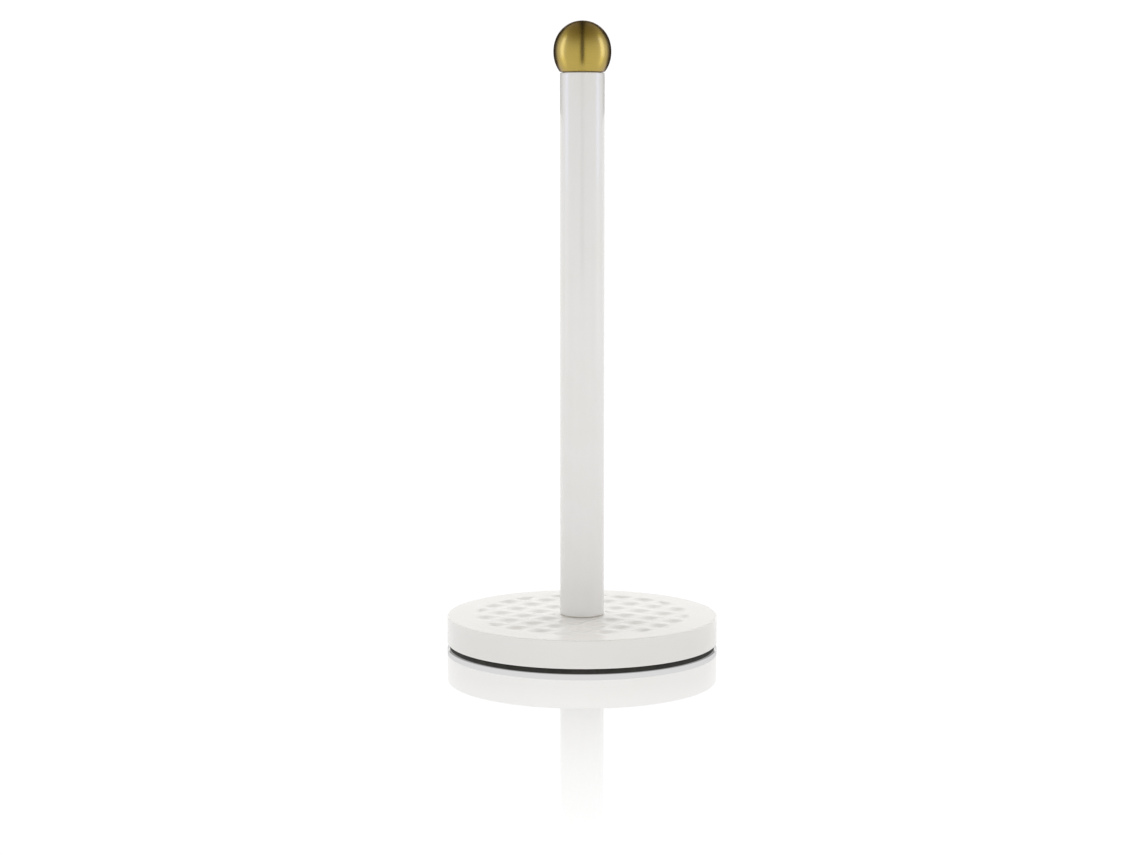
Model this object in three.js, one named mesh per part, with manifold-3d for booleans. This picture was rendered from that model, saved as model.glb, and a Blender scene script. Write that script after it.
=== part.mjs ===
// A countertop paper towel holder: a weighted round base with a dimpled top, an upright pole that
// screws into it, and a ball finial that screws into the pole to hold the roll on.
// Millimetres, +Z up. The origin is on the axis of the pole, under the pad that stands on the counter.
import * as THREE from 'three';
import { mergeVertices } from 'three/addons/utils/BufferGeometryUtils.js';
import Module from 'manifold-3d';

const wasm = await Module();
wasm.setup();

// Base shell: a cap pressed from sheet, open underneath
const baseRadius = 76.8;
const baseTopZ = 18.8;
const shellRimZ = 3; // how far the rim stays above the counter
const sheet = 1.2;
const topEdge = 0.9; // outside radius of the edge round the top
const rimEdge = 0.5; // rolled outer edge of the rim
const shellHoleRadius = 4.4;

// Dimples pressed into the top, on a square grid turned about the axis
const dimplePitch = 15.87;
const dimpleDepth = 1;
const dimpleTurn = -32; // degrees
const patternRadius = 60.5;
const seatRadius = 13.6; // the flat left under the foot of the pole
const ridgeDrop = 0.05; // how far pressing leaves the ridges between dimples below the plain rim

// Inside the base
const padTopZ = 3.6;
const padRadius = 75.4;
const plateThickness = 1;
const plateRadius = 75.2;
const ballastRadius = 74.7;
const ballastTopZ = 11.4;
const bossRadius = 18;
const recessRadius = 15.5; // in the underside of the ballast, for the nut
const hubRadius = 7;
const hubFlangeRadius = 13;
const hubFlange = 2;
const hubNut = 3.6;
const hubWasher = 1;
const hubNutAcrossFlats = 22;
const plateScrewCircle = 60;
const plateScrewRadius = 2;
const plateScrewHead = { radius: 3.8, height: 1.4 };

// Pole
const footRing = 0.5;
const footRingRadius = 12.2;
const poleRadius = 12.5;
const poleWall = 1;
const poleTopZ = 324.7;
const poleEdge = 0.4;
const plugLength = 18;
const plugGap = 0.1; // between a plug and the wall of the tube, on the radius

// Threaded rods, drawn plain at their major diameter
const poleStudRadius = 4; // M8 x 1.25
const finialStudRadius = 3; // M6 x 1
const threadGap = 0.15; // between a rod and its tapped hole, on the radius
const poleStudDepth = 10.9; // how far it reaches down into the hub when screwed home
const finialStudDepth = 10.4; // how far it reaches up into the finial when screwed home
const studHold = 14; // how far each rod is set into its plug

// Finial: a hollow ball, a little taller than it is wide, with its foot cut flat
const finialWasher = 0.4;
const ballRadius = 16.2;
const ballCentreZ = 336.4;
const ballTopZ = 353.6;
const ballWall = 1.2;
const ballSquareness = 2.08; // 2 is an ellipse
const insertRadius = 9.4;
const insertLength = 13;

const around = { base: 60, pole: 32, small: 16 };

// ---- Shapes ----

// A solid of revolution about +Z from a loop of [radius, height] that runs anticlockwise.
function turned(profile, segments) {
  const points = profile.map(([r, z]) => new THREE.Vector2(r, z));
  return new THREE.LatheGeometry(points, segments).rotateX(Math.PI / 2);
}

// A ring or a disc with a hole, from flat face to flat face.
function ring(inner, outer, z0, z1, segments) {
  return turned([[inner, z0], [outer, z0], [outer, z1], [inner, z1], [inner, z0]], segments);
}

function disc(radius, z0, z1, segments) {
  return turned([[0, z0], [radius, z0], [radius, z1], [0, z1]], segments);
}

// A round rod with both ends chamfered.
function rod(radius, z0, z1, chamfer) {
  return turned([
    [0, z0],
    [radius - chamfer, z0],
    [radius, z0 + chamfer],
    [radius, z1 - chamfer],
    [radius - chamfer, z1],
    [0, z1],
  ], around.small);
}

function hexPrism(acrossFlats, z0, z1) {
  const corner = acrossFlats / Math.sqrt(3);
  const prism = new THREE.CylinderGeometry(corner, corner, z1 - z0, 6);
  return prism.rotateX(Math.PI / 2).translate(0, 0, (z0 + z1) / 2);
}

function solid(geometry) {
  const bare = geometry.clone();
  bare.deleteAttribute('normal');
  bare.deleteAttribute('uv');
  const merged = mergeVertices(bare, 1e-4);
  const mesh = new wasm.Mesh({
    numProp: 3,
    vertProperties: merged.attributes.position.array,
    triVerts: new Uint32Array(merged.index.array),
  });
  return new wasm.Manifold(mesh);
}

function geometryOf(manifold) {
  const mesh = manifold.getMesh();
  const geometry = new THREE.BufferGeometry();
  geometry.setAttribute('position', new THREE.BufferAttribute(mesh.vertProperties, 3));
  geometry.setIndex(new THREE.BufferAttribute(mesh.triVerts, 1));
  geometry.computeVertexNormals();
  return geometry;
}

// The corners of a quarter-round edge that turns from the side up onto the top.
function roundedEdge(radius, z, edge, steps) {
  const corners = [];
  for (let i = 0; i <= steps; i++) {
    const a = (i / steps) * (Math.PI / 2);
    corners.push([radius - edge + edge * Math.cos(a), z - edge + edge * Math.sin(a)]);
  }
  return corners;
}

// ---- Base ----

// Every dimple as one cutting body under the plane z, held between the seat and the pattern's edge.
function dimples(z) {
  const half = dimplePitch / 2;
  const above = 0.4; // the cutter carries on this far over the plane
  const slope = dimpleDepth; // the field's edges fall at 45 degrees
  const bowl = [
    [0, z - dimpleDepth],
    [0.35 * half, z - 0.8 * dimpleDepth],
    [0.9 * half, z],
    [0.99 * half, z + above],
    [0, z + above],
  ].map(([s, height]) => [s * Math.SQRT2, height]);
  const oneDimple = turned(bowl, 4).rotateZ(Math.PI / 4);
  const reach = Math.ceil(patternRadius / dimplePitch);
  const turn = THREE.MathUtils.degToRad(dimpleTurn);
  const cutters = [];
  for (let i = -reach; i < reach; i++) {
    for (let j = -reach; j < reach; j++) {
      const x = (i + 0.5) * dimplePitch;
      const y = (j + 0.5) * dimplePitch;
      if (Math.hypot(x, y) < patternRadius + 0.3 * half) {
        cutters.push(solid(oneDimple.clone().translate(x, y, 0).rotateZ(turn)));
      }
    }
  }
  const field = turned([
    [seatRadius + slope, z - dimpleDepth - above],
    [patternRadius - slope, z - dimpleDepth - above],
    [patternRadius + above, z + above],
    [seatRadius - above, z + above],
    [seatRadius + slope, z - dimpleDepth - above],
  ], around.base);
  return wasm.Manifold.union(cutters).intersect(solid(field));
}

function baseShell() {
  const inner = baseRadius - sheet;
  const cap = turned([
    [inner, shellRimZ],
    [baseRadius - rimEdge, shellRimZ],
    [baseRadius, shellRimZ + rimEdge],
    ...roundedEdge(baseRadius, baseTopZ, topEdge, 3),
    [shellHoleRadius, baseTopZ],
    [shellHoleRadius, baseTopZ - sheet],
    [inner, baseTopZ - sheet],
    [inner, shellRimZ],
  ], around.base);
  const ridges = ring(seatRadius, patternRadius, baseTopZ - ridgeDrop, baseTopZ + 1, around.base);
  const pressed = solid(cap).add(dimples(baseTopZ - sheet)).subtract(dimples(baseTopZ));
  return geometryOf(pressed.subtract(solid(ridges)));
}

const flangeTopZ = baseTopZ - sheet;
const flangeZ = flangeTopZ - hubFlange;
const ballastZ = padTopZ + plateThickness;
const hubEndZ = ballastZ + 0.4;
const nutZ = hubEndZ + 0.3;
const washerZ = nutZ + hubNut;
const recessTopZ = washerZ + hubWasher;

function hub() {
  const bore = poleStudRadius + threadGap;
  return turned([
    [bore, hubEndZ],
    [hubRadius - 0.6, hubEndZ],
    [hubRadius, hubEndZ + 0.6],
    [hubRadius, flangeZ],
    [hubFlangeRadius, flangeZ],
    [hubFlangeRadius, flangeTopZ],
    [bore, flangeTopZ],
    [bore, hubEndZ],
  ], around.pole);
}

const plateScrewAngles = [90, 210, 330].map(THREE.MathUtils.degToRad);

function atPlateScrew(geometry, angle) {
  return geometry.translate(plateScrewCircle * Math.cos(angle), plateScrewCircle * Math.sin(angle), 0);
}

// The given body with one round hole from z0 to z1 at each screw of the bottom plate.
function drilledForScrews(geometry, radius, z0, z1) {
  const hole = disc(radius, z0, z1, around.small);
  const holes = plateScrewAngles.map((angle) => solid(atPlateScrew(hole.clone(), angle)));
  return geometryOf(solid(geometry).subtract(wasm.Manifold.union(holes)));
}

const plateScrewEndZ = ballastZ + 4;

function ballast() {
  const bore = hubRadius + 0.2;
  const body = turned([
    [bore, recessTopZ],
    [recessRadius, recessTopZ],
    [recessRadius, ballastZ],
    [ballastRadius, ballastZ],
    [ballastRadius, ballastTopZ - 1],
    [ballastRadius - 1, ballastTopZ],
    [bossRadius + 2, ballastTopZ],
    [bossRadius, flangeZ],
    [bore, flangeZ],
    [bore, recessTopZ],
  ], around.base);
  return drilledForScrews(body, plateScrewRadius + threadGap, ballastZ - 1, plateScrewEndZ + 0.6);
}

function plateScrew() {
  const headZ = padTopZ - plateScrewHead.height;
  const screw = turned([
    [0, headZ],
    [plateScrewHead.radius - 0.5, headZ],
    [plateScrewHead.radius, headZ + 0.5],
    [plateScrewHead.radius, padTopZ],
    [plateScrewRadius, padTopZ],
    [plateScrewRadius, plateScrewEndZ - 0.5],
    [plateScrewRadius - 0.5, plateScrewEndZ],
    [0, plateScrewEndZ],
  ], around.small);
  const socket = hexPrism(2.5, headZ - 1, headZ + 0.9);
  return geometryOf(solid(screw).subtract(solid(socket)));
}

function pad() {
  const body = turned([
    [0, 0],
    [padRadius - 0.4, 0],
    [padRadius, 0.4],
    [padRadius, padTopZ],
    [0, padTopZ],
  ], around.base);
  const pocketZ = padTopZ - plateScrewHead.height - 0.3;
  return drilledForScrews(body, plateScrewHead.radius + 0.5, pocketZ, padTopZ + 1);
}

// ---- Pole ----

const poleZ = baseTopZ + footRing;

function poleTube() {
  const bore = poleRadius - poleWall;
  return turned([
    [bore, poleZ],
    [poleRadius, poleZ],
    ...roundedEdge(poleRadius, poleTopZ, poleEdge, 2),
    [bore, poleTopZ],
    [bore, poleZ],
  ], around.pole);
}

// A plug pressed into an end of the tube, tapped from that end. It is drawn with its mouth down.
function plug(rodRadius) {
  const radius = poleRadius - poleWall - plugGap;
  const bore = rodRadius + threadGap;
  return turned([
    [bore, 0],
    [radius, 0],
    [radius, plugLength - 1],
    [radius - 1, plugLength],
    [0, plugLength],
    [0, studHold],
    [bore, studHold],
    [bore, 0],
  ], around.pole);
}

// ---- Finial ----

const ballZ = poleTopZ + finialWasher;

// The outline of the ball from its cut foot up to its top, shrunk by the inset.
function ballOutline(inset, z0, steps) {
  const radius = ballRadius - inset;
  const height = ballTopZ - ballCentreZ - inset;
  const start = Math.asin((z0 - ballCentreZ) / height);
  const points = [];
  for (let i = 0; i <= steps; i++) {
    const a = start + (i / steps) * (Math.PI / 2 - start);
    const c = Math.cos(a) ** (2 / ballSquareness);
    const s = Math.sign(a) * Math.abs(Math.sin(a)) ** (2 / ballSquareness);
    points.push([i === steps ? 0 : radius * c, i === 0 ? z0 : ballCentreZ + height * s]);
  }
  return points;
}

function ballShell() {
  const mouth = insertRadius + plugGap;
  return turned([
    [mouth, ballZ],
    ...ballOutline(0, ballZ, 12),
    ...ballOutline(ballWall, ballZ + ballWall, 7).reverse(),
    [mouth, ballZ + ballWall],
    [mouth, ballZ],
  ], around.pole);
}

function ballInsert() {
  const bore = finialStudRadius + threadGap;
  const floorZ = ballZ + finialStudDepth + 0.6;
  return turned([
    [bore, ballZ],
    [insertRadius, ballZ],
    [insertRadius, ballZ + insertLength - 1],
    [insertRadius - 1, ballZ + insertLength],
    [0, ballZ + insertLength],
    [0, floorZ],
    [bore, floorZ],
    [bore, ballZ],
  ], around.pole);
}

// ---- Assembly ----

const paint = { color: 0xf1f0ec, roughness: 0.38, metalness: 0 };
const brass = { color: 0xb79a58, roughness: 0.28, metalness: 1 };
const zinc = { color: 0xb9bcc0, roughness: 0.35, metalness: 1 };
const castIron = { color: 0x3b3c3e, roughness: 0.75, metalness: 0.6 };
const rubber = { color: 0x191a18, roughness: 0.85, metalness: 0 };
const nylon = { color: 0xc9c9c4, roughness: 0.55, metalness: 0 };

function piece(name, geometry, look) {
  const mesh = new THREE.Mesh(geometry, new THREE.MeshStandardMaterial(look));
  mesh.name = name;
  return mesh;
}

const base = new THREE.Group();
base.name = 'base';
base.add(
  piece('base_shell', baseShell(), paint),
  piece('ballast_disc', ballast(), castIron),
  piece('base_hub', hub(), zinc),
  piece('hub_washer', ring(hubRadius + 0.2, 13, washerZ, recessTopZ, around.pole), zinc),
  piece('bottom_plate', drilledForScrews(
    disc(plateRadius, padTopZ, ballastZ, around.base),
    plateScrewRadius + 0.3,
    padTopZ - 1,
    ballastZ + 1,
  ), zinc),
  piece('non_slip_pad', pad(), rubber),
);

const nutBore = disc(hubRadius + threadGap, nutZ - 1, washerZ + 1, around.pole);
const nut = solid(hexPrism(hubNutAcrossFlats, nutZ, washerZ)).subtract(solid(nutBore));
base.add(piece('hub_nut', geometryOf(nut), zinc));

plateScrewAngles.forEach((angle, i) => {
  base.add(piece(`bottom_plate_screw_${i + 1}`, atPlateScrew(plateScrew(), angle), zinc));
});

const pole = new THREE.Group();
pole.name = 'pole';
pole.position.z = poleZ;
const upperPlug = piece('upper_plug', plug(finialStudRadius), zinc);
upperPlug.rotation.x = Math.PI;
upperPlug.position.z = poleTopZ - poleZ;
pole.add(
  piece('pole_tube', poleTube().translate(0, 0, -poleZ), paint),
  piece('lower_plug', plug(poleStudRadius), zinc),
  piece('pole_stud', rod(poleStudRadius, -footRing - sheet - poleStudDepth, studHold, 0.8), zinc),
  upperPlug,
  piece('finial_stud', rod(
    finialStudRadius,
    poleTopZ - poleZ - studHold,
    ballZ - poleZ + finialStudDepth,
    0.6,
  ), zinc),
);

const finial = new THREE.Group();
finial.name = 'finial';
finial.add(
  piece('finial_shell', ballShell(), brass),
  piece('finial_insert', ballInsert(), brass),
);

const holder = new THREE.Group();
holder.name = 'paper_towel_holder';
holder.add(
  base,
  piece('foot_ring', ring(poleStudRadius + 0.4, footRingRadius, baseTopZ, poleZ, around.pole), nylon),
  pole,
  piece('finial_washer', ring(finialStudRadius + 0.4, 11, poleTopZ, ballZ, around.pole), nylon),
  finial,
);

export default holder;
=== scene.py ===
import math

import bpy
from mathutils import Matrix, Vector


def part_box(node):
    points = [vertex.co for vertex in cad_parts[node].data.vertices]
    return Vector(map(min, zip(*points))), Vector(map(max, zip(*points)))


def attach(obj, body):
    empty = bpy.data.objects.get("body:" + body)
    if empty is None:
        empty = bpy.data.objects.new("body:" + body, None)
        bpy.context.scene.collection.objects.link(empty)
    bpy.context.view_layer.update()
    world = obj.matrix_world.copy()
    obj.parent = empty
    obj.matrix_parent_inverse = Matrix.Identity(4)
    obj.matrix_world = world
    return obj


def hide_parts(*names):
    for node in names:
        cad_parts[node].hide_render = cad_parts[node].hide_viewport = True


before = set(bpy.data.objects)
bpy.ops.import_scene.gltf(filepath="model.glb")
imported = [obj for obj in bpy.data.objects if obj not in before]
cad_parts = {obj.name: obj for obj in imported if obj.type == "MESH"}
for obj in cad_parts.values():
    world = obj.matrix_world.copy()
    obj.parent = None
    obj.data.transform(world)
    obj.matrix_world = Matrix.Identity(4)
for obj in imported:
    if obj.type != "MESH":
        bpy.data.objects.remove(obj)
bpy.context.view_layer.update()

MM = 0.001


def extent(node):
    """(outer radius, lowest height, highest height) of a node that is turned about the Z axis."""
    low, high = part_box(node)
    return max(high[0], high[1]), low[2], high[2]


# ---- Meshes ----

AROUND = 240  # faces round every turned piece


def arc(centre, radius, start, end, steps):
    """Points on an arc in the (radius, height) plane, the angles in degrees."""
    turns = [math.radians(start + (end - start) * i / steps) for i in range(steps + 1)]
    return [(centre[0] + radius * math.cos(t), centre[1] + radius * math.sin(t)) for t in turns]


def rounded(corners, steps=5):
    """An outline through (radius, height, fillet) corners, with each corner rounded by its fillet."""
    points = []
    count = len(corners)
    for i, (r, z, fillet) in enumerate(corners):
        here = Vector((r, z))
        if not fillet:
            points.append((r, z))
            continue
        before = (Vector(corners[i - 1][:2]) - here).normalized()
        after = (Vector(corners[(i + 1) % count][:2]) - here).normalized()
        half = before.angle(after) / 2
        reach = fillet / math.tan(half)
        centre = here + (before + after).normalized() * fillet / math.sin(half)
        first = (here + before * reach - centre).normalized()
        last = (here + after * reach - centre).normalized()
        points += [tuple(centre + first.slerp(last, step / steps) * fillet) for step in range(steps + 1)]
    return points


def turned(name, outline, around=AROUND, closed=False, sink=None):
    """A solid of revolution about Z. An open outline starts and ends on the axis, a closed one is a ring.
    sink(x, y, r, z) is how far a point lies below the plain turned surface."""
    rows, verts = [], []
    for r, z in outline:
        if r < 1e-7:
            rows.append([len(verts)] * around)
            verts.append((0, 0, z))
            continue
        rows.append(list(range(len(verts), len(verts) + around)))
        for i in range(around):
            turn = 2 * math.pi * i / around
            x, y = r * math.cos(turn), r * math.sin(turn)
            verts.append((x, y, z - (sink(x, y, r, z) if sink else 0)))
    faces = []
    pairs = list(zip(rows, rows[1:] + ([rows[0]] if closed else [])))
    for lower, upper in pairs:
        for i in range(around):
            j = (i + 1) % around
            corner = dict.fromkeys((lower[i], lower[j], upper[j], upper[i]))
            if len(corner) > 2:
                faces.append(tuple(corner))
    return from_faces(name, verts, faces)


def from_faces(name, verts, faces, sharp=35):
    mesh = bpy.data.meshes.new(name)
    mesh.from_pydata(verts, [], faces)
    mesh.validate()
    mesh.shade_smooth()
    mesh.set_sharp_from_angle(angle=math.radians(sharp))
    obj = bpy.data.objects.new(name, mesh)
    bpy.context.scene.collection.objects.link(obj)
    return obj


def finish_piece(obj, material, body, node):
    obj.data.materials.append(material)
    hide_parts(node)
    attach(obj, body)
    return obj


# ---- Materials ----


def remap(tree, source, start, end, low, high, kind="LINEAR"):
    """A socket's value from start..end, carried over to low..high."""
    node = tree.nodes.new("ShaderNodeMapRange")
    node.interpolation_type = kind
    for key, number in (("From Min", start), ("From Max", end), ("To Min", low), ("To Max", high)):
        node.inputs[key].default_value = number
    tree.links.new(source, node.inputs["Value"])
    return node.outputs["Result"]


def maths(tree, operation, first, second=None):
    """A maths node on one or two values, each a socket or a number."""
    node = tree.nodes.new("ShaderNodeMath")
    node.operation = operation
    for socket, value in zip(node.inputs, (first, second)):
        if isinstance(value, (int, float)):
            socket.default_value = value
        elif value is not None:
            tree.links.new(value, socket)
    return node.outputs["Value"]


class Nodes:
    """A material's node tree, with short calls for what every finish here uses."""

    def __init__(self, name):
        self.material = bpy.data.materials.new(name)
        self.material.use_nodes = True
        self.tree = self.material.node_tree
        self.shader = self.tree.nodes["Principled BSDF"]
        self.place = self.add("ShaderNodeTexCoord").outputs["Object"]

    def add(self, kind, **settings):
        node = self.tree.nodes.new(kind)
        for key, value in settings.items():
            setattr(node, key, value)
        return node

    def link(self, source, socket):
        self.tree.links.new(source, socket)

    def set(self, **values):
        for key, value in values.items():
            self.shader.inputs[key.replace("_", " ")].default_value = value

    def feed(self, name, source):
        """Drive one of the shader's inputs."""
        self.link(source, self.shader.inputs[name])

    def noise(self, scale, detail=2.0, vector=None):
        """A noise with features about 1 / scale metres across."""
        node = self.add("ShaderNodeTexNoise")
        node.inputs["Scale"].default_value = scale
        node.inputs["Detail"].default_value = detail
        self.link(vector or self.place, node.inputs["Vector"])
        return node.outputs["Fac"]

    def spread(self, value, low, high, start=0.3, end=0.7):
        return remap(self.tree, value, start, end, low, high)

    def maths(self, operation, first, second=None):
        return maths(self.tree, operation, first, second)

    def blend(self, factor, first, second):
        node = self.add("ShaderNodeMix", data_type="RGBA")
        self.link(factor, node.inputs["Factor"])
        for socket, colour in ((node.inputs["A"], first), (node.inputs["B"], second)):
            if isinstance(colour, tuple):
                socket.default_value = (*colour, 1)
            else:
                self.link(colour, socket)
        return node.outputs["Result"]

    def bump(self, height, depth, strength=1.0):
        node = self.add("ShaderNodeBump")
        node.inputs["Strength"].default_value = strength
        node.inputs["Distance"].default_value = depth
        self.link(height, node.inputs["Height"])
        self.feed("Normal", node.outputs["Normal"])

    def edges(self, start, end):
        """1 on sharp outside edges, 0 on flats."""
        point = self.add("ShaderNodeNewGeometry").outputs["Pointiness"]
        return self.spread(point, 0, 1, start, end)


def powder_coat(name, colour):
    """Satin powder coat: a trace of grime and orange peel, uneven gloss, and thin paint on the edges."""
    n = Nodes(name)
    grime = tuple(c * k for c, k in zip(colour, (0.985, 0.98, 0.965)))
    thin = tuple(c * 0.93 for c in colour)
    clouds = n.spread(n.noise(38, 4), 0, 1, 0.45, 0.75)
    worn = n.maths("MULTIPLY", n.edges(0.56, 0.64), 0.4)
    n.feed("Base Color", n.blend(worn, n.blend(clouds, colour, grime), thin))
    n.feed("Roughness", n.spread(n.noise(90, 2), 0.19, 0.23))
    n.set(IOR=1.6)
    n.bump(n.noise(600, 2), 0.01 * MM, 0.08)
    return n.material


def brushed_brass(name, centre_z):
    """Lacquered satin brass, brushed round the axis so that its reflections are drawn out up and down."""
    n = Nodes(name)
    apart = n.add("ShaderNodeSeparateXYZ")
    n.link(n.place, apart.inputs["Vector"])
    x, y, z = apart.outputs
    out = n.maths("SQRT", n.maths("ADD", n.maths("MULTIPLY", x, x), n.maths("MULTIPLY", y, y)))
    latitude = n.maths("ARCTAN2", n.maths("SUBTRACT", z, centre_z), out)
    rings = n.add("ShaderNodeCombineXYZ")
    n.link(n.maths("MULTIPLY", latitude, 140.0), rings.inputs["X"])
    n.link(n.maths("MULTIPLY", x, 90.0), rings.inputs["Y"])
    n.link(n.maths("MULTIPLY", y, 90.0), rings.inputs["Z"])
    brush = n.noise(1.0, 3, vector=rings.outputs["Vector"])
    tarnish = n.spread(n.noise(120, 4), 0, 0.35, 0.45, 0.8)
    colour = n.blend(n.spread(brush, 0, 1), (0.405, 0.282, 0.008), (0.445, 0.310, 0.012))
    n.feed("Base Color", n.blend(tarnish, colour, (0.35, 0.24, 0.008)))
    n.feed("Roughness", n.spread(brush, 0.27, 0.33))
    # The dark Specular Tint darkens the metal at glancing angles: a painted dark rim round the ball, in
    # place of a dark reflection.
    n.set(Metallic=1.0, Anisotropic=0.75, Anisotropic_Rotation=0.25, Specular_Tint=(0.16, 0.10, 0.04, 1))
    n.set(Coat_Weight=1.0, Coat_Roughness=0.27, Coat_IOR=1.75)
    tangent = n.add("ShaderNodeTangent", direction_type="RADIAL", axis="Z")
    n.feed("Tangent", tangent.outputs["Tangent"])
    n.bump(brush, 0.002 * MM, 0.2)
    return n.material


def plain_metal(name, colour, low, high):
    """Plated, turned or bare metal with a fine grain."""
    n = Nodes(name)
    dull = tuple(c * 0.8 for c in colour)
    n.feed("Base Color", n.blend(n.spread(n.noise(220, 4), 0, 1), colour, dull))
    n.feed("Roughness", n.spread(n.noise(900, 3), low, high))
    n.set(Metallic=1.0)
    n.bump(n.noise(900, 2), 0.01 * MM, 0.4)
    return n.material


def cast_iron(name):
    """Rough black iron, a little rusty in places."""
    n = Nodes(name)
    rust = n.spread(n.noise(300, 5), 0, 1)
    n.feed("Base Color", n.blend(rust, (0.03, 0.03, 0.031), (0.07, 0.062, 0.055)))
    n.feed("Roughness", n.spread(n.noise(800, 3), 0.6, 0.85))
    n.set(Metallic=0.4)
    n.bump(n.noise(600, 5), 0.25 * MM, 0.7)
    return n.material


def rubber(name):
    n = Nodes(name)
    dust = n.spread(n.noise(150, 4), 0, 1)
    n.feed("Base Color", n.blend(dust, (0.011, 0.0105, 0.008), (0.022, 0.021, 0.017)))
    n.feed("Roughness", n.spread(n.noise(500, 3), 0.68, 0.88))
    n.bump(n.noise(1400, 3), 0.06 * MM, 0.5)
    return n.material


def nylon(name):
    n = Nodes(name)
    n.feed("Base Color", n.blend(n.spread(n.noise(400, 2), 0, 1), (0.42, 0.40, 0.34), (0.48, 0.46, 0.39)))
    n.feed("Roughness", n.spread(n.noise(900, 2), 0.45, 0.6))
    n.bump(n.noise(1500, 2), 0.01 * MM, 0.4)
    return n.material


# ---- Base ----

DIMPLE_PITCH = 15.87 * MM
DIMPLE_DEPTH = 1.0 * MM
DIMPLE_TURN = math.radians(-32)
PATTERN_RADIUS = 60.5 * MM
PATTERN_FADE = 2 * MM  # how far past its radius the pattern ends
SEAT_RADIUS = 13.6 * MM  # the flat under the foot of the pole
SEAT_FADE = 1.6 * MM
SHEET = 1.2 * MM
POLE_STUD_HOLE = 4.4 * MM


def eased(value, start, end):
    """0 before start, 1 after end, with a smooth step between."""
    t = min(max((value - start) / (end - start), 0.0), 1.0)
    return t * t * (3 - 2 * t)


def dimple(x, y, r):
    """How far the pressed pattern lies below the plain top: soft four-sided bowls with ridges between."""
    if not SEAT_RADIUS < r < PATTERN_RADIUS + PATTERN_FADE:
        return 0.0
    u = (x * math.cos(DIMPLE_TURN) + y * math.sin(DIMPLE_TURN)) / DIMPLE_PITCH
    v = (-x * math.sin(DIMPLE_TURN) + y * math.cos(DIMPLE_TURN)) / DIMPLE_PITCH
    bowl = abs(math.sin(math.pi * u) * math.sin(math.pi * v)) ** 1.5
    inside = 1 - eased(r, PATTERN_RADIUS - 1.5 * MM, PATTERN_RADIUS + PATTERN_FADE)
    return DIMPLE_DEPTH * bowl * inside * eased(r, SEAT_RADIUS, SEAT_RADIUS + SEAT_FADE)


def base_cap(material):
    """The pressed cap. Its top has closely spaced rings, which carry the dimples. The underside has fewer,
    with one at the seat's edge, so that it stays flat over the hub."""
    radius, rim, top = extent("base_shell")
    hole = POLE_STUD_HOLE
    wall = radius - SHEET
    under = top - SHEET
    edge = 0.7 * MM
    spacing = 0.8 * MM
    skirt = rim + 5 * MM
    rings = int((wall - hole) / spacing)
    across = [hole + (wall - hole) * i / rings for i in range(rings + 1)]
    outline = rounded([(wall, rim, 0.3 * MM), (radius, rim, 0.7 * MM), (radius, top, 0)])[:-1]
    outline += arc((radius - edge, top - edge), edge, 0, 90, 8)
    outline += [(r, top) for r in reversed(across) if r < radius - edge - 0.2 * MM]
    outline += [(r, under) for r in sorted([*across[::3], SEAT_RADIUS])]
    cap = turned(
        "base_cap", outline, around=360, closed=True,
        sink=lambda x, y, r, z: dimple(x, y, r) if z > skirt else 0.0,
    )
    return finish_piece(cap, material, "base", "base_shell")


def pad(material):
    """A plain disc: the pockets for the screw heads, inside the closed base, are left out."""
    radius, low, high = extent("non_slip_pad")
    outline = rounded([(0, low, 0), (radius, low, 0.3 * MM), (radius, high, 0.2 * MM), (0, high, 0)])
    return finish_piece(turned("pad", outline), material, "base", "non_slip_pad")


# ---- Pole ----

TUBE_WALL = 1.0 * MM
POLE_STUD_PITCH = 1.25 * MM
POLE_STUD_BORE = 4.15 * MM
FINIAL_STUD_PITCH = 1.0 * MM
FINIAL_STUD_BORE = 3.15 * MM
PLUG_BORE_DEPTH = 14 * MM


def washer(name, node, body, hole, fillet, material):
    radius, low, high = extent(node)
    outline = rounded([(hole, low, 0), (radius, low, fillet), (radius, high, fillet), (hole, high, 0)])
    return finish_piece(turned(name, outline, closed=True), material, body, node)


def pole(material):
    radius, low, high = extent("pole_tube")
    bore = radius - TUBE_WALL
    outline = rounded([
        (bore, low, 0.1 * MM),
        (radius, low, 0.25 * MM),
        (radius, high, 0.5 * MM),
        (bore, high, 0.2 * MM),
    ])
    return finish_piece(turned("pole", outline, closed=True), material, "pole", "pole_tube")


def tapped_plug(name, node, body, hole, deep, material, mouth_up=False):
    """A turned plug with a tapped hole in its lower end, or in its upper end if mouth_up."""
    radius, low, high = extent(node)
    lead_in = 0.4 * MM
    outline = rounded([
        (0, low + deep, 0),
        (hole, low + deep, 0),
        (hole, low + lead_in, 0),
        (hole + lead_in, low, 0),
        (radius, low, 0.3 * MM),
        (radius, high, 1.0 * MM),
        (0, high, 0),
    ])
    if mouth_up:
        outline = [(r, low + high - z) for r, z in reversed(outline)]
    return finish_piece(turned(name, outline), material, body, node)


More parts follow.
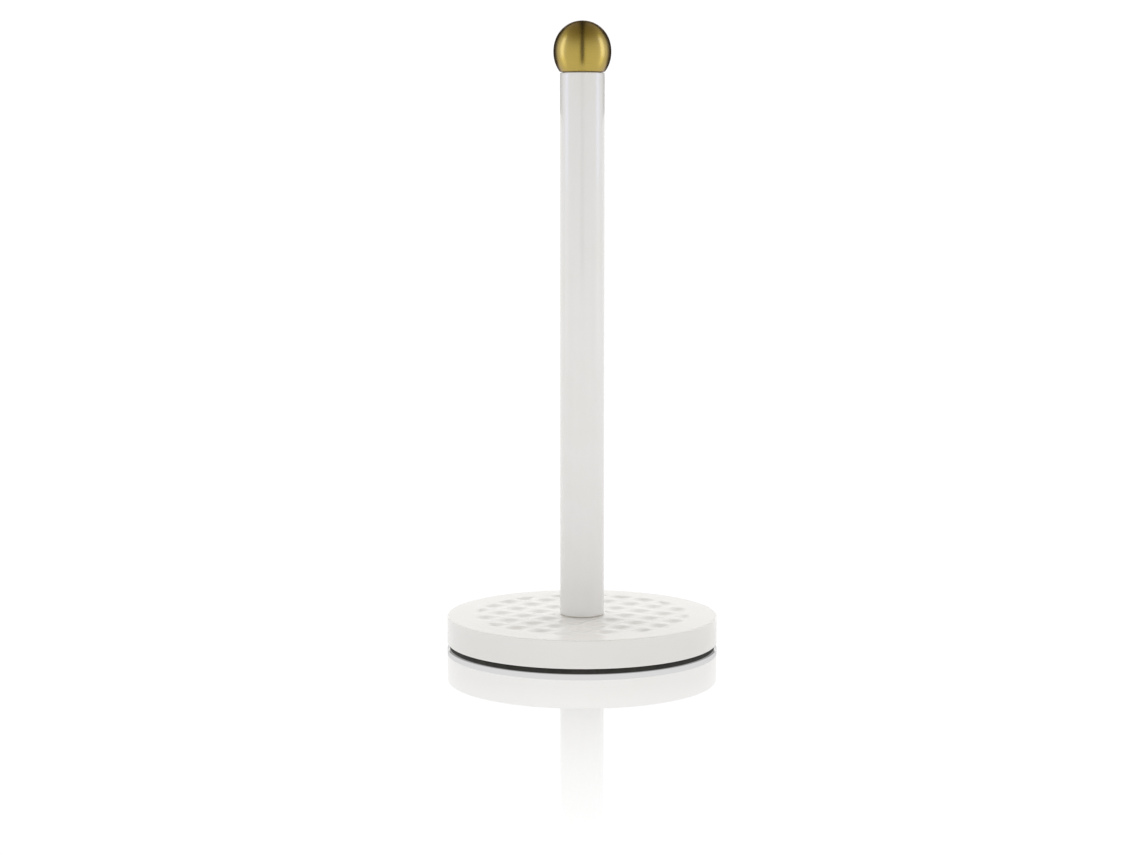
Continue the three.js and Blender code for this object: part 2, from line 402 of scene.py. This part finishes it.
def threaded_rod(name, node, pitch, material):
    """A stud with a right-hand thread and chamfered ends, as one winding surface."""
    radius, low, high = extent(node)
    depth = 0.61 * pitch  # of a standard metric thread
    root = radius - depth
    around = 48
    rows_per_turn = 10
    count = round((high - low) / pitch * rows_per_turn)
    verts = [(0, 0, low)]
    for row in range(count + 1):
        z = low + (high - low) * row / count
        chamfer = root + min(z - low, high - z)
        for i in range(around):
            turn = i / around
            phase = ((z - low) / pitch - turn) % 1.0
            flank = min(max(abs(2 * phase - 1) * 1.3 - 0.15, 0.0), 1.0)
            r = min(root + depth * flank, chamfer)
            verts.append((r * math.cos(2 * math.pi * turn), r * math.sin(2 * math.pi * turn), z))
    verts.append((0, 0, high))
    last = len(verts) - 1
    faces = []
    for i in range(around):
        j = (i + 1) % around
        faces.append((0, 1 + j, 1 + i))
        faces.append((last, last - around + i, last - around + j))
        for row in range(count):
            a = 1 + row * around
            b = a + around
            faces.append((a + i, a + j, b + j, b + i))
    return finish_piece(from_faces(name, verts, faces), material, "pole", node)


# ---- Finial ----

BALL_CENTRE = 336.4 * MM
BALL_SQUARENESS = 2.08
BALL_WALL = 1.2 * MM
BALL_MOUTH = 9.5 * MM
BOSS_BORE_DEPTH = 11 * MM


def ball_outline(radius, centre, top, foot, steps):
    """The ball's outline from its cut foot to its top: an ellipse, very slightly squared."""
    height = top - centre
    start = math.asin((foot - centre) / height)
    power = 2 / BALL_SQUARENESS
    points = []
    for i in range(steps + 1):
        a = start + (math.pi / 2 - start) * i / steps
        r = radius * max(math.cos(a), 0) ** power
        z = centre + height * math.copysign(abs(math.sin(a)) ** power, a)
        points.append((r if i < steps else 0.0, z if i else foot))
    return points


def ball(material):
    radius, foot, top = extent("finial_shell")
    outer = ball_outline(radius, BALL_CENTRE, top, foot, 64)
    inner = ball_outline(radius - BALL_WALL, BALL_CENTRE, top - BALL_WALL, foot + BALL_WALL, 32)
    lip = [(BALL_MOUTH, foot + BALL_WALL), (BALL_MOUTH, foot)]
    cut = outer[0][0]
    edge = arc((cut - 0.25 * MM, foot + 0.25 * MM), 0.25 * MM, -90, -30, 4)
    outline = list(reversed(inner)) + lip + edge + outer[1:]
    piece = turned("ball", outline, around=288)
    return finish_piece(piece, material, "finial", "finial_shell")


# ---- The object ----

paint = powder_coat("powder_coat", (0.735, 0.727, 0.709))
# The pole gets its own copy of the base's white paint, made a little darker: painted shade, for how the
# light falls on the pole.
pole_paint_darker_for_shade = powder_coat("shaded_pole_powder_coat", (0.71, 0.704, 0.693))
brass = brushed_brass("brushed_brass", BALL_CENTRE)
turned_brass = plain_metal("turned_brass", (0.66, 0.50, 0.20), 0.2, 0.32)
zinc = plain_metal("zinc_plate", (0.55, 0.57, 0.60), 0.25, 0.42)
iron = cast_iron("cast_iron")
black_rubber = rubber("rubber")
washer_nylon = nylon("nylon")

base_cap(paint)
pad(black_rubber)
washer("foot_washer", "foot_ring", "foot_ring", POLE_STUD_HOLE, 0.1 * MM, washer_nylon)
pole(pole_paint_darker_for_shade)
tapped_plug("foot_plug", "lower_plug", "pole", POLE_STUD_BORE, PLUG_BORE_DEPTH, zinc)
tapped_plug(
    "top_plug", "upper_plug", "pole", FINIAL_STUD_BORE, PLUG_BORE_DEPTH, zinc,
    mouth_up=True,
)
threaded_rod("foot_thread", "pole_stud", POLE_STUD_PITCH, zinc)
threaded_rod("ball_thread", "finial_stud", FINIAL_STUD_PITCH, zinc)
washer("ball_washer", "finial_washer", "finial_washer", 3.4 * MM, 0.1 * MM, washer_nylon)
ball(brass)
tapped_plug(
    "ball_boss", "finial_insert", "finial", FINIAL_STUD_BORE, BOSS_BORE_DEPTH, turned_brass
)

KEPT = {
    "ballast_disc": iron,
    "base_hub": zinc,
    "hub_washer": zinc,
    "hub_nut": zinc,
    "bottom_plate": zinc,
    "bottom_plate_screw_1": zinc,
    "bottom_plate_screw_2": zinc,
    "bottom_plate_screw_3": zinc,
}
for node, material in KEPT.items():
    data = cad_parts[node].data
    data.materials.clear()
    data.materials.append(material)


# ---- Stage, light and camera ----


def studio_world():
    """White all round, a little greyer in front, dimmer and warmer overhead. A dark slot runs down the
    middle, from front to back through the zenith, and reaches lower behind the object."""
    world = bpy.data.worlds.new("studio")
    world.use_nodes = True
    bpy.context.scene.world = world
    tree = world.node_tree
    background = tree.nodes["Background"]
    place = tree.nodes.new("ShaderNodeTexCoord")
    apart = tree.nodes.new("ShaderNodeSeparateXYZ")
    tree.links.new(place.outputs["Generated"], apart.inputs["Vector"])

    def ease(source, start, end, low, high):
        return remap(tree, source, start, end, low, high, "SMOOTHSTEP")

    x, y, z = apart.outputs
    aside = ease(maths(tree, "ABSOLUTE", x), 0.05, 0.16, 0.06, 1.0)
    behind = ease(y, 0.0, 0.3, 0.0, 0.40)
    below = ease(maths(tree, "ADD", z, behind), 0.78, 0.90, 1.0, 0.0)
    slot = maths(tree, "MAXIMUM", aside, below)
    front = ease(y, -0.9, 0.1, 0.95, 1.06)
    overhead = ease(z, 0.10, 0.95, 1.0, 0.26)
    level = maths(tree, "MULTIPLY", front, overhead)
    tree.links.new(maths(tree, "MULTIPLY", level, slot), background.inputs["Strength"])
    colour = tree.nodes.new("ShaderNodeMix")
    colour.data_type = "RGBA"
    tree.links.new(ease(z, 0.4, 0.9, 0.0, 1.0), colour.inputs["Factor"])
    colour.inputs["A"].default_value = (1, 1, 1, 1)
    colour.inputs["B"].default_value = (1, 0.88, 0.74, 1)
    tree.links.new(colour.outputs["Result"], background.inputs["Color"])


def glow(name, strength, colour=(1, 1, 1)):
    material = bpy.data.materials.new(name)
    material.use_nodes = True
    tree = material.node_tree
    tree.nodes.clear()
    light = tree.nodes.new("ShaderNodeEmission")
    light.inputs["Strength"].default_value = strength
    light.inputs["Color"].default_value = (*colour, 1)
    out = tree.nodes.new("ShaderNodeOutputMaterial")
    tree.links.new(light.outputs["Emission"], out.inputs["Surface"])
    return material


def staged(name, verts, faces, material, seen_by):
    """Something in the studio that casts no shadow and that the camera doesn't see itself."""
    mesh = bpy.data.meshes.new(name)
    mesh.from_pydata(verts, [], faces)
    mesh.materials.append(material)
    obj = bpy.data.objects.new(name, mesh)
    obj.visible_camera = False
    obj.visible_shadow = False
    obj.visible_glossy = "glossy" in seen_by
    obj.visible_diffuse = "diffuse" in seen_by
    bpy.context.scene.collection.objects.link(obj)
    return obj


def card(name, size, place, strength, turn=0, tilt=0, seen_by=("glossy",), colour=(1, 1, 1)):
    """A flat panel that lights or shades the object."""
    w, h = size[0] / 2, size[1] / 2
    corners = [(-w, 0, -h), (w, 0, -h), (w, 0, h), (-w, 0, h)]
    obj = staged(name, corners, [(0, 1, 2, 3)], glow(name, strength, colour), seen_by)
    obj.location = place
    obj.rotation_euler = (math.radians(tilt), 0, math.radians(turn))


def table():
    """A white table, glossy at a glancing angle only: its mirror image fades away from the object."""
    reach = 30.0
    corners = [(-reach, -reach, 0), (reach, -reach, 0), (reach, reach, 0), (-reach, reach, 0)]
    mesh = bpy.data.meshes.new("table")
    mesh.from_pydata(corners, [], [(0, 1, 2, 3)])
    material = bpy.data.materials.new("table")
    material.use_nodes = True
    tree = material.node_tree
    tree.nodes.clear()
    place = tree.nodes.new("ShaderNodeTexCoord")
    away = tree.nodes.new("ShaderNodeVectorMath")
    away.operation = "LENGTH"
    tree.links.new(place.outputs["Object"], away.inputs[0])
    white = tree.nodes.new("ShaderNodeEmission")
    white.inputs["Strength"].default_value = 1.04
    mirror = tree.nodes.new("ShaderNodeBsdfGlossy")
    mirror.inputs["Color"].default_value = (1, 1, 1, 1)
    mirror.inputs["Roughness"].default_value = 0.03
    fresnel = tree.nodes.new("ShaderNodeFresnel")
    fresnel.inputs["IOR"].default_value = 1.5
    head_on = 0.045  # what such a surface reflects seen from straight above
    glancing = maths(tree, "MAXIMUM", maths(tree, "SUBTRACT", fresnel.outputs["Fac"], head_on), 0.0)
    foot = extent("base_shell")[0]
    full, faded = foot + 30 * MM, foot + 380 * MM
    near = remap(tree, away.outputs["Value"], full, faded, 2.65, 0.0)
    mix = tree.nodes.new("ShaderNodeMixShader")
    tree.links.new(maths(tree, "MULTIPLY", near, glancing), mix.inputs["Fac"])
    tree.links.new(white.outputs["Emission"], mix.inputs[1])
    tree.links.new(mirror.outputs["BSDF"], mix.inputs[2])
    out = tree.nodes.new("ShaderNodeOutputMaterial")
    tree.links.new(mix.outputs["Shader"], out.inputs["Surface"])
    mesh.materials.append(material)
    obj = bpy.data.objects.new("table", mesh)
    bpy.context.scene.collection.objects.link(obj)


def pale_ring(strength):
    """A glowing ring under the rim that only the table's mirror sees: a painted pale reflection in place
    of the black pad's, so that the mirror doesn't double the black pad.
    """
    radius, rim, _ = extent("base_shell")
    sides = 180
    turns = [2 * math.pi * i / sides for i in range(sides)]
    edge = [(radius * math.cos(t), radius * math.sin(t)) for t in turns]
    verts = [(x, y, 0) for x, y in edge] + [(x, y, rim) for x, y in edge]
    faces = [(i, (i + 1) % sides, (i + 1) % sides + sides, i + sides) for i in range(sides)]
    staged("pale_ring", verts, faces, glow("pale_ring", strength), seen_by=("glossy",))


def camera():
    distance, height, lens = 1.3579, 0.2794, 76.2
    aim = Vector((-6.88 * MM, 0, 125.9 * MM))
    data = bpy.data.cameras.new("camera")
    data.lens = lens
    data.sensor_width = 36
    eye = bpy.data.objects.new("camera", data)
    eye.location = (0, -distance, height)
    eye.rotation_euler = (aim - eye.location).to_track_quat("-Z", "Y").to_euler()
    bpy.context.scene.collection.objects.link(eye)
    bpy.context.scene.camera = eye


DARK_AMBER = (1, 0.75, 0.4)
COOL_WHITE = (0.98, 1.03, 1.45)

studio_world()
table()
pale_ring(0.56)
card("camera_flag", (0.04, 0.42), (0, -0.16, 0.42), 0.05, colour=DARK_AMBER)
card("top_flag", (0.056, 0.03), (0, 0.05, 0.39), 0.05, colour=DARK_AMBER)
for name, side in (("left", -1), ("right", 1)):
    card(name + "_flag", (0.055, 0.1), (side * 0.0555, 0.05, 0.355), 0.05, colour=DARK_AMBER)
    card(name + "_flag_edge", (0.04, 0.1), (side * 0.103, 0.05, 0.355), 0.5)
    card(name + "_softbox", (0.10, 0.26), (side * 0.3, -0.02, 0.415), 2.15, turn=90, colour=COOL_WHITE)
    card(name + "_low_softbox", (0.10, 0.145), (side * 0.3, -0.02, 0.2125), 1.5, turn=90)
    card(name + "_fill", (0.4, 0.3), (side * 0.33, 0.15, 0.15), 1.4, turn=90, seen_by=("diffuse",))
card("top_softbox", (2.8, 1.8), (0, 1.1, 2.6), 3.5, tilt=67, seen_by=("diffuse",))
card("front_fill", (0.8, 0.2), (0, -0.45, 0.12), 2.1, seen_by=("diffuse",))
camera()
bpy.context.scene.view_settings.view_transform = "Standard"
